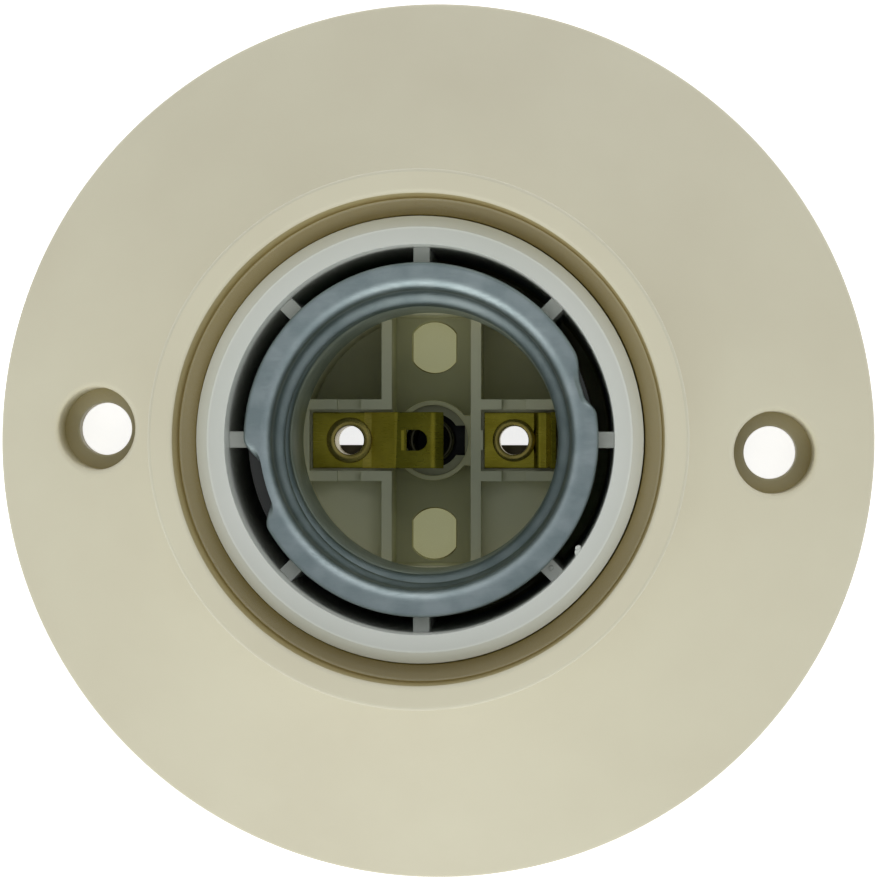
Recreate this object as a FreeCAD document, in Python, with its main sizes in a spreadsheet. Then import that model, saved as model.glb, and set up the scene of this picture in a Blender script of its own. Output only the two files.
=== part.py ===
import FreeCAD, Part

import math
import os
import re

import Sketcher

# Ceiling lamp holder for an E27 lamp, in millimetres.
# The origin is the centre of the face that lies on the ceiling, and +Z points out of the
# ceiling to the lamp. The two fixing holes lie on the X axis.

# Driving sizes. Heights are measured from the ceiling face.
SIZES = {
    # Cover: a low cone flange with a tall neck
    "base_radius": 44.0,
    "edge_height": 3.4,
    "edge_draft": 0.15,
    "edge_chamfer": 0.4,
    "neck_wall": 2.15,
    "neck_foot_height": 15.2,
    "overall_height": 50.0,
    "mouth_gap": 1.7,
    "mouth_depth": 5.5,
    "skirt_clearance": 0.15,
    "lip_chamfer": 0.5,
    "rim_wall": 2.4,
    "cone_wall": 2.6,
    "tube_wall": 2.1,
    # Cover: seat of the socket body, and the bridge with its two posts
    "seat_height": 6.7,
    "seat_width": 1.05,
    "bridge_thickness": 2.6,
    "bridge_width": 8.6,
    "post_offset": 9.2,
    "post_radius": 2.5,
    "post_width": 4.2,
    "post_drop": 0.35,
    # Cover: fixing holes and stiffening ribs
    "fixing_offset": 33.5,
    "fixing_radius": 2.65,
    "recess_radius": 4.1,
    "recess_floor": 2.3,
    "boss_wall": 1.7,
    "rib_width": 1.6,
    "rib_foot_height": 1.6,
    # The socket body and all it carries sit slightly turned in the cover
    "insert_turn": 2.0,
    # Socket body: skirt, ring slot, ribs and sleeve
    "skirt_wall": 2.55,
    "skirt_sink": 3.5,
    "shoulder_width": 1.0,
    "shoulder_drop": 0.7,
    "slot_width": 1.8,
    "slot_floor_rise": 4.3,
    "slot_rib_width": 1.45,
    "slot_rib_drop": 1.2,
    "sleeve_wall": 1.5,
    # Socket body: pit in front of the contacts. A rise is above the seat or the channel's
    # floor, and a sink is below the partitions' top.
    "partition_rise": 10.9,
    "partition_wall": 1.0,
    "partition_notch_width": 2.3,
    "partition_notch_drop": 1.1,
    "channel_width": 7.6,
    "channel_end_wall": 0.3,
    "channel_rise": 2.0,
    "contact_sink": 1.7,
    "contact_side_gap": 0.25,
    "deep_pocket_rise": 1.7,
    "shallow_pocket_sink": 2.6,
    "keyhole_radius": 3.9,
    "keyhole_wall": 0.45,
    "keyhole_rise": 4.0,
    "keyhole_step": 0.8,
    "keyhole_slot_width": 2.9,
    "spring_well_radius": 2.65,
    "spring_well_rise": 1.0,
    "post_clearance": 0.1,
    "tab_overhang": 0.2,
    "tab_width": 1.9,
    # Socket body: terminal chambers, open to the ceiling side
    "chamber_width": 6.6,
    "chamber_height": 4.3,
    "chamber_length_past_screw": 6.0,
    "chamber_length_past_rivet": 2.9,
    "screw_well_side": 4.2,
    "screw_well_depth": 2.7,
    # Screw shell, pressed from thin sheet
    "thread_crest_radius": 12.2,
    "thread_root_radius": 13.35,
    "shell_sheet": 0.4,
    "shell_foot_rise": 1.8,
    "first_crest_drop": 3.7,
    "shell_sink": 3.2,
    "flange_overhang": 0.4,
    "flange_clearance": 0.1,
    "shell_clearance": 0.15,
    # Contacts, cut and bent from brass strip
    "contact_width": 5.4,
    "contact_sheet": 0.5,
    "rivet_offset": 7.95,
    "centre_plate_end": 11.5,
    "tongue_fold": 5.7,
    "tongue_knee": 3.4,
    "tongue_knee_rise": 1.75,
    "tongue_crest": 0.25,
    "tongue_crest_rise": 2.75,
    "tongue_tip": 1.1,
    "tongue_tip_drop": 0.45,
    "tongue_hole_radius": 1.0,
    "tongue_hole_place": 1.35,
    "tab_length": 0.8,
    "shell_plate_start": 5.1,
    "shell_step_rise": 0.7,
    "shell_step_run": 0.3,
    "shell_tip_gap": 0.05,
    # Hollow rivets
    "rivet_bore": 1.4,
    "rivet_wall": 0.3,
    "rivet_clearance": 0.05,
    "rivet_head": 0.45,
    "centre_rivet_head_radius": 2.2,
    "shell_rivet_head_radius": 2.05,
    "rivet_rolled_radius": 1.95,
    # Contact spring
    "spring_radius": 2.1,
    "spring_wire": 0.4,
    # Terminals behind the rivets
    "terminal_sheet": 0.8,
    "terminal_width": 5.8,
    "terminal_past_screw": 3.2,
    "terminal_past_rivet": 2.4,
    "screw_from_rivet": 3.95,
    "screw_radius": 1.7,
    "screw_running_gap": 0.05,
    "screw_past_plate": 1.0,
    "screw_head_radius": 2.9,
    "screw_head_height": 2.1,
    "screw_slot_width": 0.9,
    "screw_slot_depth": 1.1,
    "wire_space": 1.6,
    "washer_sheet": 0.8,
    "washer_width": 6.0,
    "washer_length": 7.0,
}

# Sizes that follow from the driving ones.
DERIVED = {
    "slot_floor": "seat_height + slot_floor_rise",
    "chamber_roof": "seat_height + chamber_height",
    "channel_floor": "seat_height + channel_rise",
    "deep_pocket_floor": "seat_height + deep_pocket_rise",
    "spring_well_floor": "seat_height + spring_well_rise",
    "keyhole_height": "channel_floor + keyhole_rise",
    "partition_height": "seat_height + partition_rise",
    "contact_seat": "partition_height - contact_sink",
    "shallow_pocket_floor": "partition_height - shallow_pocket_sink",
    "shell_foot": "partition_height + shell_foot_rise",
    "sleeve_bore": "thread_root_radius + shell_sheet + shell_clearance",
    "sleeve_radius": "sleeve_bore + sleeve_wall",
    "flange_radius": "sleeve_radius + flange_overhang",
    "skirt_inner_radius": "sleeve_radius + slot_width",
    "skirt_radius": "skirt_inner_radius + skirt_wall",
    "bore_radius": "skirt_radius + skirt_clearance",
    "mouth_radius": "skirt_radius + mouth_gap",
    "mouth_floor": "overall_height - mouth_depth",
    "neck_radius": "mouth_radius + neck_wall",
    "skirt_height": "overall_height - skirt_sink",
    "shell_top": "skirt_height - shell_sink",
    "shell_first_crest": "shell_top - first_crest_drop",
    "sleeve_height": "shell_top - shell_sheet - flange_clearance",
    "slot_rib_height": "sleeve_height - slot_rib_drop",
    "edge_top_radius": "base_radius - edge_draft",
    "cone_slope": "(neck_foot_height - edge_height) / (edge_top_radius - neck_radius)",
    "tube_radius": "bore_radius + tube_wall",
    "boss_radius": "recess_radius + boss_wall",
    "pit_radius": "thread_crest_radius + shell_sheet / 2",
    "channel_side": "channel_width / 2",
    "partition_side": "channel_side + partition_wall",
    "lane_side": "contact_width / 2 + contact_side_gap",
    "lane_wall_side": "lane_side + partition_wall",
    "contact_top": "contact_seat + contact_sheet",
    "shell_fold": "rivet_offset + shell_rivet_head_radius + rivet_clearance",
    "terminal_face": "chamber_roof - terminal_sheet",
    "washer_face": "terminal_face - wire_space",
    "head_face": "washer_face - washer_sheet",
    "rivet_radius": "rivet_bore + rivet_wall",
}

document = FreeCAD.newDocument("CeilingLampHolder")
sheet = document.addObject("Spreadsheet::Sheet", "Sizes")


def fill_sheet():
    """Write each driving size into a cell of its own, with its name as the alias."""
    for row, (name, value) in enumerate(SIZES.items(), start=1):
        sheet.set(f"A{row}", name)
        sheet.set(f"B{row}", str(value))
        sheet.setAlias(f"B{row}", name)
    document.recompute()


def tied(formula):
    """Turn a formula of size names into an expression on the sheet's cells."""

    def cell(match):
        word = match.group(0)
        if word in SIZES:
            return f"Sizes.{word}"
        if word in DERIVED:
            return f"({tied(DERIVED[word])})"
        return word

    return re.sub(r"[a-z_]+", cell, formula)


def measure(formula):
    """Value of a formula of size names."""
    return float(sheet.evalExpression(tied(formula)))


def new_body(label):
    """Body of one sub-part, turned with the insert about the lamp axis."""
    body = document.addObject("PartDesign::Body", label)
    body.Label = label
    turn = measure("insert_turn")
    body.Placement = FreeCAD.Placement(FreeCAD.Vector(), FreeCAD.Vector(0, 0, 1), turn)
    body.setExpression("Placement.Rotation.Angle", tied("insert_turn"))
    return body


def new_sketch(body, name, role, height="0", unturned=False):
    """Sketch on a plane of the body's origin, moved along that plane's normal.

    An unturned sketch undoes the insert's turn, for what lies along the cover's X axis.
    """
    sketch = body.newObject("Sketcher::SketchObject", name)
    plane = next(f for f in body.Origin.OriginFeatures if f.Role == role)
    sketch.AttachmentSupport = [(plane, "")]
    sketch.MapMode = "FlatFace"
    back_turn = -measure("insert_turn") if unturned else 0.0
    lamp_axis = FreeCAD.Vector(0, 0, 1) if role == "XY_Plane" else FreeCAD.Vector(0, 1, 0)
    rotation = FreeCAD.Rotation(lamp_axis, back_turn)
    offset = FreeCAD.Vector(0, 0, measure(height))
    sketch.AttachmentOffset = FreeCAD.Placement(offset, rotation)
    sketch.setExpression("AttachmentOffset.Base.z", tied(height))
    return sketch


def pin_point(sketch, curve, point, place):
    """Tie a point of a curve to a place given by two formulas."""
    axes = (("DistanceX", place[0], -2), ("DistanceY", place[1], -1))
    for kind, formula, zero_axis in axes:
        value = measure(formula)
        if abs(value) < 1e-9:
            sketch.addConstraint(Sketcher.Constraint("PointOnObject", curve, point, zero_axis))
        elif value > 0:
            index = sketch.addConstraint(Sketcher.Constraint(kind, -1, 1, curve, point, value))
            sketch.setExpression(f"Constraints[{index}]", tied(formula))
        else:
            index = sketch.addConstraint(Sketcher.Constraint(kind, curve, point, -1, 1, -value))
            sketch.setExpression(f"Constraints[{index}]", f"-({tied(formula)})")


def add_polygon(sketch, corners):
    """Closed outline of straight lines through corners given by pairs of formulas."""
    points = [FreeCAD.Vector(measure(x), measure(y), 0) for x, y in corners]
    first = sketch.GeometryCount
    count = len(corners)
    for i in range(count):
        sketch.addGeometry(Part.LineSegment(points[i], points[(i + 1) % count]))
    for i in range(count):
        follower = first + (i + 1) % count
        sketch.addConstraint(Sketcher.Constraint("Coincident", first + i, 2, follower, 1))
    for i, corner in enumerate(corners):
        pin_point(sketch, first + i, 1, corner)


def add_rectangle(sketch, left, right, low, high):
    """Rectangle between two abscissas and two ordinates, each a formula."""
    add_polygon(sketch, [(left, low), (right, low), (right, high), (left, high)])


def add_circle(sketch, x, y, radius):
    """Circle with its centre and radius given by formulas."""
    centre = FreeCAD.Vector(measure(x), measure(y), 0)
    normal = FreeCAD.Vector(0, 0, 1)
    curve = sketch.addGeometry(Part.Circle(centre, normal, measure(radius)))
    pin_point(sketch, curve, 3, (x, y))
    index = sketch.addConstraint(Sketcher.Constraint("Radius", curve, measure(radius)))
    sketch.setExpression(f"Constraints[{index}]", tied(radius))


def add_double_d(sketch, x, y, radius, half_width):
    """Round hole or post with two flats that face along X."""
    cx, cy = measure(x), measure(y)
    r, w = measure(radius), measure(half_width)
    corner = math.acos(w / r)
    centre = FreeCAD.Vector(cx, cy, 0)
    round_curve = Part.Circle(centre, FreeCAD.Vector(0, 0, 1), r)
    top = sketch.addGeometry(Part.ArcOfCircle(round_curve, corner, math.pi - corner))
    bottom = sketch.addGeometry(
        Part.ArcOfCircle(round_curve, math.pi + corner, 2 * math.pi - corner)
    )
    rise = r * math.sin(corner)
    left = sketch.addGeometry(
        Part.LineSegment(FreeCAD.Vector(cx - w, cy + rise, 0), FreeCAD.Vector(cx - w, cy - rise, 0))
    )
    right = sketch.addGeometry(
        Part.LineSegment(FreeCAD.Vector(cx + w, cy - rise, 0), FreeCAD.Vector(cx + w, cy + rise, 0))
    )
    joints = ((top, 2, left, 1), (left, 2, bottom, 1), (bottom, 2, right, 1), (right, 2, top, 1))
    for joint in joints:
        sketch.addConstraint(Sketcher.Constraint("Coincident", *joint))
    sketch.addConstraint(Sketcher.Constraint("Coincident", top, 3, bottom, 3))
    sketch.addConstraint(Sketcher.Constraint("Vertical", left))
    sketch.addConstraint(Sketcher.Constraint("Vertical", right))
    pin_point(sketch, top, 3, (x, y))
    for curve in (top, bottom):
        index = sketch.addConstraint(Sketcher.Constraint("Radius", curve, r))
        sketch.setExpression(f"Constraints[{index}]", tied(radius))
    spans = ((left, 1, top, 3), (top, 3, right, 1))
    for first, first_end, last, last_end in spans:
        constraint = Sketcher.Constraint("DistanceX", first, first_end, last, last_end, w)
        index = sketch.addConstraint(constraint)
        sketch.setExpression(f"Constraints[{index}]", tied(half_width))


def pad(body, sketch, name, length, reverse=False):
    """Pad of a sketch, upwards unless reversed."""
    feature = body.newObject("PartDesign::Pad", name)
    feature.Profile = sketch
    feature.Length = measure(length)
    feature.setExpression("Length", tied(length))
    feature.Reversed = reverse
    body.Tip = feature
    document.recompute()
    return feature


def pad_both_ways(body, sketch, name, length):
    """Pad of a sketch to both sides of its plane."""
    feature = body.newObject("PartDesign::Pad", name)
    feature.Profile = sketch
    feature.SideType = "Symmetric"
    feature.Length = measure(length)
    feature.setExpression("Length", tied(length))
    body.Tip = feature
    document.recompute()
    return feature


def pocket(body, sketch, name, depth, upwards=False):
    """Pocket of a sketch, downwards unless it is cut upwards. It has to remove material."""
    before = body.Shape.Volume
    feature = body.newObject("PartDesign::Pocket", name)
    feature.Profile = sketch
    feature.Length = measure(depth)
    feature.setExpression("Length", tied(depth))
    feature.Reversed = upwards
    body.Tip = feature
    document.recompute()
    if body.Shape.Volume >= before:
        raise RuntimeError(f"{name} cuts nothing")
    return feature


def turn_profile(body, sketch, name, kind="PartDesign::Revolution"):
    """Full turn of a sketch about the lamp axis, which is the sketch's vertical axis."""
    feature = body.newObject(kind, name)
    feature.Profile = sketch
    feature.ReferenceAxis = (sketch, ["V_Axis"])
    feature.Angle = 360
    body.Tip = feature
    document.recompute()
    return feature


def polar_pattern(body, feature, name, count):
    """Copies of a feature spread evenly round the lamp axis."""
    pattern = body.newObject("PartDesign::PolarPattern", name)
    pattern.Originals = [feature]
    axis = next(f for f in body.Origin.OriginFeatures if f.Role == "Z_Axis")
    pattern.Axis = (axis, [""])
    pattern.Angle = 360
    pattern.Occurrences = count
    body.Tip = pattern
    document.recompute()
    return pattern


def break_edges(body, feature, name, size, circles):
    """Chamfer on the circular edges that lie at given radii and heights."""
    wanted = [(measure(r), measure(z)) for r, z in circles]
    names = []
    for index, edge in enumerate(feature.Shape.Edges, start=1):
        curve = edge.Curve
        if not isinstance(curve, Part.Circle):
            continue
        for r, z in wanted:
            if math.isclose(curve.Radius, r) and math.isclose(curve.Center.z, z):
                names.append(f"Edge{index}")
    if len(names) != len(wanted):
        raise RuntimeError(f"{name} finds {len(names)} edges")
    chamfer = body.newObject("PartDesign::Chamfer", name)
    chamfer.Base = (feature, names)
    chamfer.Size = measure(size)
    chamfer.setExpression("Size", tied(size))
    body.Tip = chamfer
    document.recompute()
    return chamfer


# Number of ribs across the socket body's ring slot
SLOT_RIBS = 8
# Number of stiffening ribs under the cover's cone
COVER_RIBS = 4


def make_base_cover():
    """Ivory moulding: cone flange, neck, inner tube, seat, bridge, posts and bosses."""
    body = new_body("base_cover")
    rim_inner = "base_radius - rim_wall"
    underside = "neck_foot_height - cone_wall"
    mid_wall = "neck_foot_height - cone_wall / 2"

    # Tubes round the fixing holes, cut to a cone that lies inside the flange's wall
    bosses = new_sketch(body, "BossSketch", "XY_Plane", unturned=True)
    add_circle(bosses, "fixing_offset", "0", "boss_radius")
    add_circle(bosses, "-fixing_offset", "0", "boss_radius")
    pad(body, bosses, "Bosses", "neck_foot_height")
    trim = new_sketch(body, "TrimSketch", "XZ_Plane")
    trim_corners = [
        ("neck_radius", mid_wall),
        ("base_radius", f"{mid_wall} - (base_radius - neck_radius) * cone_slope"),
        ("base_radius", "overall_height"),
        ("neck_radius", "overall_height"),
    ]
    add_polygon(trim, trim_corners)
    turn_profile(body, trim, "TrimToCone", "PartDesign::Groove")

    profile = new_sketch(body, "CoverProfile", "XZ_Plane")
    corners = [
        ("base_radius", "0"),
        ("edge_top_radius", "edge_height - edge_chamfer"),
        ("edge_top_radius - edge_chamfer", "edge_height + edge_chamfer * cone_slope"),
        ("neck_radius", "neck_foot_height"),
        ("neck_radius", "overall_height"),
        ("mouth_radius", "overall_height"),
        ("mouth_radius", "mouth_floor"),
        ("bore_radius", "mouth_floor"),
        ("bore_radius", "seat_height - bridge_thickness"),
        ("tube_radius", "seat_height - bridge_thickness"),
        ("tube_radius", f"{underside} + (neck_radius - tube_radius) * cone_slope"),
        (rim_inner, f"{underside} - ({rim_inner} - neck_radius) * cone_slope"),
        (rim_inner, "0"),
    ]
    add_polygon(profile, corners)
    turned = turn_profile(body, profile, "CoverTurned")
    lip = [("neck_radius", "overall_height"), ("mouth_radius", "overall_height")]
    break_edges(body, turned, "LipEdges", "lip_chamfer", lip)

    # Stiffening ribs from the inner tube to the rim, two of them through the bosses
    ribs = new_sketch(body, "RibSketch", "XZ_Plane", unturned=True)
    rib_start = "tube_radius - tube_wall / 2"
    rib_end = "base_radius - rim_wall / 2"
    rib_corners = [
        (rib_start, "seat_height - bridge_thickness"),
        (rib_end, "rib_foot_height"),
        (rib_end, f"{mid_wall} - ({rib_end} - neck_radius) * cone_slope"),
        (rib_start, f"{mid_wall} - ({rib_start} - neck_radius) * cone_slope"),
    ]
    add_polygon(ribs, rib_corners)
    rib = pad_both_ways(body, ribs, "Rib", "rib_width")
    polar_pattern(body, rib, "Ribs", COVER_RIBS)

    # Seat ring, bridge and posts for the socket body
    seat = new_sketch(body, "SeatSketch", "XY_Plane", "seat_height")
    add_circle(seat, "0", "0", "bore_radius + tube_wall / 2")
    add_circle(seat, "0", "0", "bore_radius - seat_width")
    pad(body, seat, "Seat", "bridge_thickness", reverse=True)
    bridge = new_sketch(body, "BridgeSketch", "XY_Plane", "seat_height")
    add_rectangle(
        bridge,
        "-bridge_width / 2",
        "bridge_width / 2",
        "-bore_radius - tube_wall / 2",
        "bore_radius + tube_wall / 2",
    )
    pad(body, bridge, "Bridge", "bridge_thickness", reverse=True)
    posts = new_sketch(body, "PostSketch", "XY_Plane", "seat_height")
    add_double_d(posts, "0", "post_offset", "post_radius", "post_width / 2")
    add_double_d(posts, "0", "-post_offset", "post_radius", "post_width / 2")
    pad(body, posts, "Posts", "channel_floor - post_drop - seat_height")

    # Recesses and through holes for the fixing screws
    recesses = new_sketch(body, "RecessSketch", "XY_Plane", "neck_foot_height", unturned=True)
    add_circle(recesses, "fixing_offset", "0", "recess_radius")
    add_circle(recesses, "-fixing_offset", "0", "recess_radius")
    pocket(body, recesses, "Recesses", "neck_foot_height - recess_floor")
    holes = new_sketch(body, "FixingSketch", "XY_Plane", "recess_floor", unturned=True)
    add_circle(holes, "fixing_offset", "0", "fixing_radius")
    add_circle(holes, "-fixing_offset", "0", "fixing_radius")
    pocket(body, holes, "FixingHoles", "recess_floor")
    return body


def make_socket_body():
    """White moulding: skirt, ring slot with ribs, sleeve, partitioned pit and chambers."""
    body = new_body("socket_body")
    profile = new_sketch(body, "SocketProfile", "XZ_Plane")
    add_polygon(
        profile,
        [
            ("0", "seat_height"),
            ("skirt_radius", "seat_height"),
            ("skirt_radius", "skirt_height - shoulder_drop"),
            ("skirt_radius - shoulder_width", "skirt_height"),
            ("skirt_inner_radius", "skirt_height"),
            ("skirt_inner_radius", "slot_floor"),
            ("sleeve_radius", "slot_floor"),
            ("sleeve_radius", "sleeve_height"),
            ("sleeve_bore", "sleeve_height"),
            ("sleeve_bore", "shell_foot"),
            ("pit_radius", "shell_foot"),
            ("pit_radius", "partition_height"),
            ("0", "partition_height"),
        ],
    )
    turn_profile(body, profile, "SocketTurned")

    # Thin ribs across the ring slot
    ribs = new_sketch(body, "SlotRibSketch", "XY_Plane", "slot_floor")
    add_rectangle(
        ribs,
        "sleeve_radius - shell_clearance",
        "skirt_inner_radius + shell_clearance",
        "-slot_rib_width / 2",
        "slot_rib_width / 2",
    )
    rib = pad(body, ribs, "SlotRib", "slot_rib_height - slot_floor")
    polar_pattern(body, rib, "SlotRibs", SLOT_RIBS)

    # Channel along Y, then the keyhole boss on its floor
    reach = "pit_radius - channel_end_wall"
    channel = new_sketch(body, "ChannelSketch", "XY_Plane", "partition_height")
    add_rectangle(channel, "-channel_side", "channel_side", f"-({reach})", reach)
    pocket(body, channel, "Channel", "partition_height - channel_floor")
    keyhole = new_sketch(body, "KeyholeSketch", "XY_Plane", "channel_floor")
    add_circle(keyhole, "0", "0", "keyhole_radius")
    pad(body, keyhole, "KeyholeBoss", "keyhole_height - channel_floor")
    arm = new_sketch(body, "KeyholeArmSketch", "XY_Plane", "channel_floor")
    arm_side = "keyhole_slot_width / 2 + partition_wall"
    add_rectangle(arm, "0", "partition_side", f"-({arm_side})", arm_side)
    pad(body, arm, "KeyholeArm", "keyhole_height - channel_floor")
    dish = new_sketch(body, "KeyholeDishSketch", "XY_Plane", "keyhole_height")
    add_circle(dish, "0", "0", "keyhole_radius - keyhole_wall")
    pocket(body, dish, "KeyholeDish", "keyhole_step")
    well = new_sketch(body, "SpringWellSketch", "XY_Plane", "keyhole_height")
    add_circle(well, "0", "0", "spring_well_radius")
    pocket(body, well, "SpringWell", "keyhole_height - spring_well_floor")
    slot = new_sketch(body, "KeyholeSlotSketch", "XY_Plane", "keyhole_height")
    slot_end = "spring_well_radius + keyhole_wall"
    add_rectangle(slot, "0", slot_end, "-keyhole_slot_width / 2", "keyhole_slot_width / 2")
    pocket(body, slot, "KeyholeSlot", "keyhole_height - spring_well_floor")

    # Lanes for the two contacts, with a flat end wall, and the notch for the tongue
    centre_end = "-centre_plate_end - contact_side_gap"
    shell_end = "pit_radius + shell_clearance"
    lanes = new_sketch(body, "LaneSketch", "XY_Plane", "partition_height")
    add_rectangle(lanes, centre_end, "-channel_side", "-lane_side", "lane_side")
    add_rectangle(lanes, "partition_side", shell_end, "-lane_side", "lane_side")
    pocket(body, lanes, "Lanes", "partition_height - contact_seat")

    # Pockets beside the lanes: deep on the +Y side, shallow over the terminal chambers
    outer = "pit_radius"
    pocket_corner = f"(({outer} ^ 2 - partition_side ^ 2) ^ 0.5)"
    side_corner = f"(({outer} ^ 2 - lane_wall_side ^ 2) ^ 0.5)"
    for name, way, floor in (
        ("Deep", "", "deep_pocket_floor"),
        ("Shallow", "-", "shallow_pocket_floor"),
    ):
        sketch = new_sketch(body, f"{name}PocketSketch", "XY_Plane", "partition_height")
        for side in ("", "-"):
            add_corner_pocket(sketch, side, way, outer, pocket_corner, side_corner)
        pocket(body, sketch, f"{name}Pockets", f"partition_height - {floor}")

    # Notches in the walls beside the rivets
    notches = new_sketch(body, "NotchSketch", "XY_Plane", "partition_height")
    for centre in ("rivet_offset", "-rivet_offset"):
        add_rectangle(
            notches,
            f"{centre} - partition_notch_width / 2",
            f"{centre} + partition_notch_width / 2",
            "-lane_wall_side",
            "lane_wall_side",
        )
    pocket(body, notches, "Notches", "partition_notch_drop")

    # Small tab on the right-hand partition
    tab = new_sketch(body, "TabSketch", "XY_Plane", "contact_top")
    add_rectangle(
        tab,
        "channel_side",
        "partition_side + tab_overhang",
        "-tab_width / 2",
        "tab_width / 2",
    )
    pad(body, tab, "Tab", "partition_height - contact_top")

    # Double-D holes for the cover's posts
    holes = new_sketch(body, "PostHoleSketch", "XY_Plane", "seat_height")
    for centre in ("post_offset", "-post_offset"):
        add_double_d(
            holes,
            "0",
            centre,
            "post_radius + post_clearance",
            "post_width / 2 + post_clearance",
        )
    pocket(body, holes, "PostHoles", "channel_floor - seat_height", upwards=True)

    # Terminal chambers, wells for the screw tips and holes for the rivets
    chambers = new_sketch(body, "ChamberSketch", "XY_Plane", "seat_height")
    for centre in ("rivet_offset", "-rivet_offset"):
        add_rectangle(
            chambers,
            f"{centre} - chamber_width / 2",
            f"{centre} + chamber_width / 2",
            "-screw_from_rivet - chamber_length_past_screw",
            "chamber_length_past_rivet",
        )
    pocket(body, chambers, "Chambers", "chamber_roof - seat_height", upwards=True)
    wells = new_sketch(body, "ScrewWellSketch", "XY_Plane", "chamber_roof")
    for centre in ("rivet_offset", "-rivet_offset"):
        add_rectangle(
            wells,
            f"{centre} - screw_well_side / 2",
            f"{centre} + screw_well_side / 2",
            "-screw_from_rivet - screw_well_side / 2",
            "-screw_from_rivet + screw_well_side / 2",
        )
    pocket(body, wells, "ScrewWells", "screw_well_depth", upwards=True)
    bores = new_sketch(body, "RivetHoleSketch", "XY_Plane", "chamber_roof")
    for centre in ("rivet_offset", "-rivet_offset"):
        add_circle(bores, centre, "0", "rivet_radius + rivet_clearance")
    pocket(body, bores, "RivetHoles", "contact_seat - chamber_roof", upwards=True)
    return body


def add_corner_pocket(sketch, side, way, outer, pocket_corner, side_corner):
    """Outline of one pit pocket: two straight sides and an arc along the pit's wall."""
    inner = FreeCAD.Vector(measure(f"{side}partition_side"), measure(f"{way}lane_wall_side"), 0)
    top = FreeCAD.Vector(inner.x, measure(f"{way}{pocket_corner}"), 0)
    end = FreeCAD.Vector(measure(f"{side}{side_corner}"), inner.y, 0)
    middle = (top + end).normalize() * measure(outer)
    upright = sketch.addGeometry(Part.LineSegment(inner, top))
    level = sketch.addGeometry(Part.LineSegment(end, inner))
    arc = sketch.addGeometry(Part.Arc(top, middle, end))
    starts_at_top = sketch.getPoint(arc, 1).distanceToPoint(top) < 1e-6
    at_top, at_end = (1, 2) if starts_at_top else (2, 1)
    sketch.addConstraint(Sketcher.Constraint("Coincident", upright, 1, level, 2))
    sketch.addConstraint(Sketcher.Constraint("Coincident", upright, 2, arc, at_top))
    sketch.addConstraint(Sketcher.Constraint("Coincident", level, 1, arc, at_end))
    sketch.addConstraint(Sketcher.Constraint("Coincident", arc, 3, -1, 1))
    sketch.addConstraint(Sketcher.Constraint("Vertical", upright))
    sketch.addConstraint(Sketcher.Constraint("Horizontal", level))
    index = sketch.addConstraint(Sketcher.Constraint("Radius", arc, measure(outer)))
    sketch.setExpression(f"Constraints[{index}]", tied(outer))
    pin_point(sketch, upright, 1, (f"{side}partition_side", f"{way}lane_wall_side"))


def make_screw_shell():
    """Pressed steel shell: bore on the thread's crests, first turn as a step, and flange."""
    body = new_body("screw_shell")
    profile = new_sketch(body, "ShellProfile", "XZ_Plane")
    corners = [
        ("thread_crest_radius", "shell_foot"),
        ("thread_crest_radius + shell_sheet", "shell_foot"),
        ("thread_crest_radius + shell_sheet", "shell_first_crest - shell_sheet"),
        ("thread_root_radius + shell_sheet", "shell_first_crest - shell_sheet"),
        ("thread_root_radius + shell_sheet", "shell_top - shell_sheet"),
        ("flange_radius", "shell_top - shell_sheet"),
        ("flange_radius", "shell_top"),
        ("thread_root_radius", "shell_top"),
        ("thread_root_radius", "shell_first_crest"),
        ("thread_crest_radius", "shell_first_crest"),
    ]
    add_polygon(profile, corners)
    turn_profile(body, profile, "ShellTurned")
    return body


def make_centre_contact():
    """Brass strip: riveted plate, tongue that rises to the lamp axis, hole and tab."""
    body = new_body("centre_contact")
    profile = new_sketch(body, "TongueProfile", "XZ_Plane")
    tip_rise = "tongue_crest_rise - tongue_tip_drop"
    line = [
        ("-centre_plate_end", "contact_seat"),
        ("-tongue_fold", "contact_seat"),
        ("-tongue_knee", "contact_seat + tongue_knee_rise"),
        ("tongue_crest", "contact_seat + tongue_crest_rise"),
        ("tongue_tip", f"contact_seat + {tip_rise}"),
    ]
    add_polygon(profile, line + [(x, f"{z} + contact_sheet") for x, z in reversed(line)])
    pad_both_ways(body, profile, "Strip", "contact_width")
    hole = new_sketch(body, "RivetHoleSketch", "XY_Plane", "contact_top")
    add_circle(hole, "-rivet_offset", "0", "rivet_radius + rivet_clearance")
    pocket(body, hole, "RivetHole", "contact_sheet")

    # D-shaped hole whose metal is bent down as a tab on its flat side
    opening = new_sketch(body, "OpeningSketch", "XY_Plane", f"contact_seat + {tip_rise}")
    add_circle(opening, "-tongue_hole_place", "0", "tongue_hole_radius")
    flat_side = "-tongue_hole_place - tongue_hole_radius"
    pocket(body, opening, "Opening", tip_rise)
    flat = new_sketch(body, "OpeningFlatSketch", "XY_Plane", f"contact_seat + {tip_rise}")
    add_rectangle(
        flat,
        flat_side,
        "-tongue_hole_place",
        "-tongue_hole_radius",
        "tongue_hole_radius",
    )
    pocket(body, flat, "OpeningFlat", tip_rise)
    knee_slope = "(tongue_crest_rise - tongue_knee_rise) / (tongue_crest + tongue_knee)"
    run = "tongue_knee - tongue_hole_place - tongue_hole_radius"
    tab_top = f"contact_top + tongue_knee_rise + ({run}) * {knee_slope}"
    tab = new_sketch(body, "TabSketch", "XY_Plane", tab_top)
    add_rectangle(
        tab,
        f"{flat_side} - contact_sheet",
        flat_side,
        "-tongue_hole_radius",
        "tongue_hole_radius",
    )
    pad(body, tab, "Tab", "tab_length + contact_sheet", reverse=True)
    return body


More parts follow.
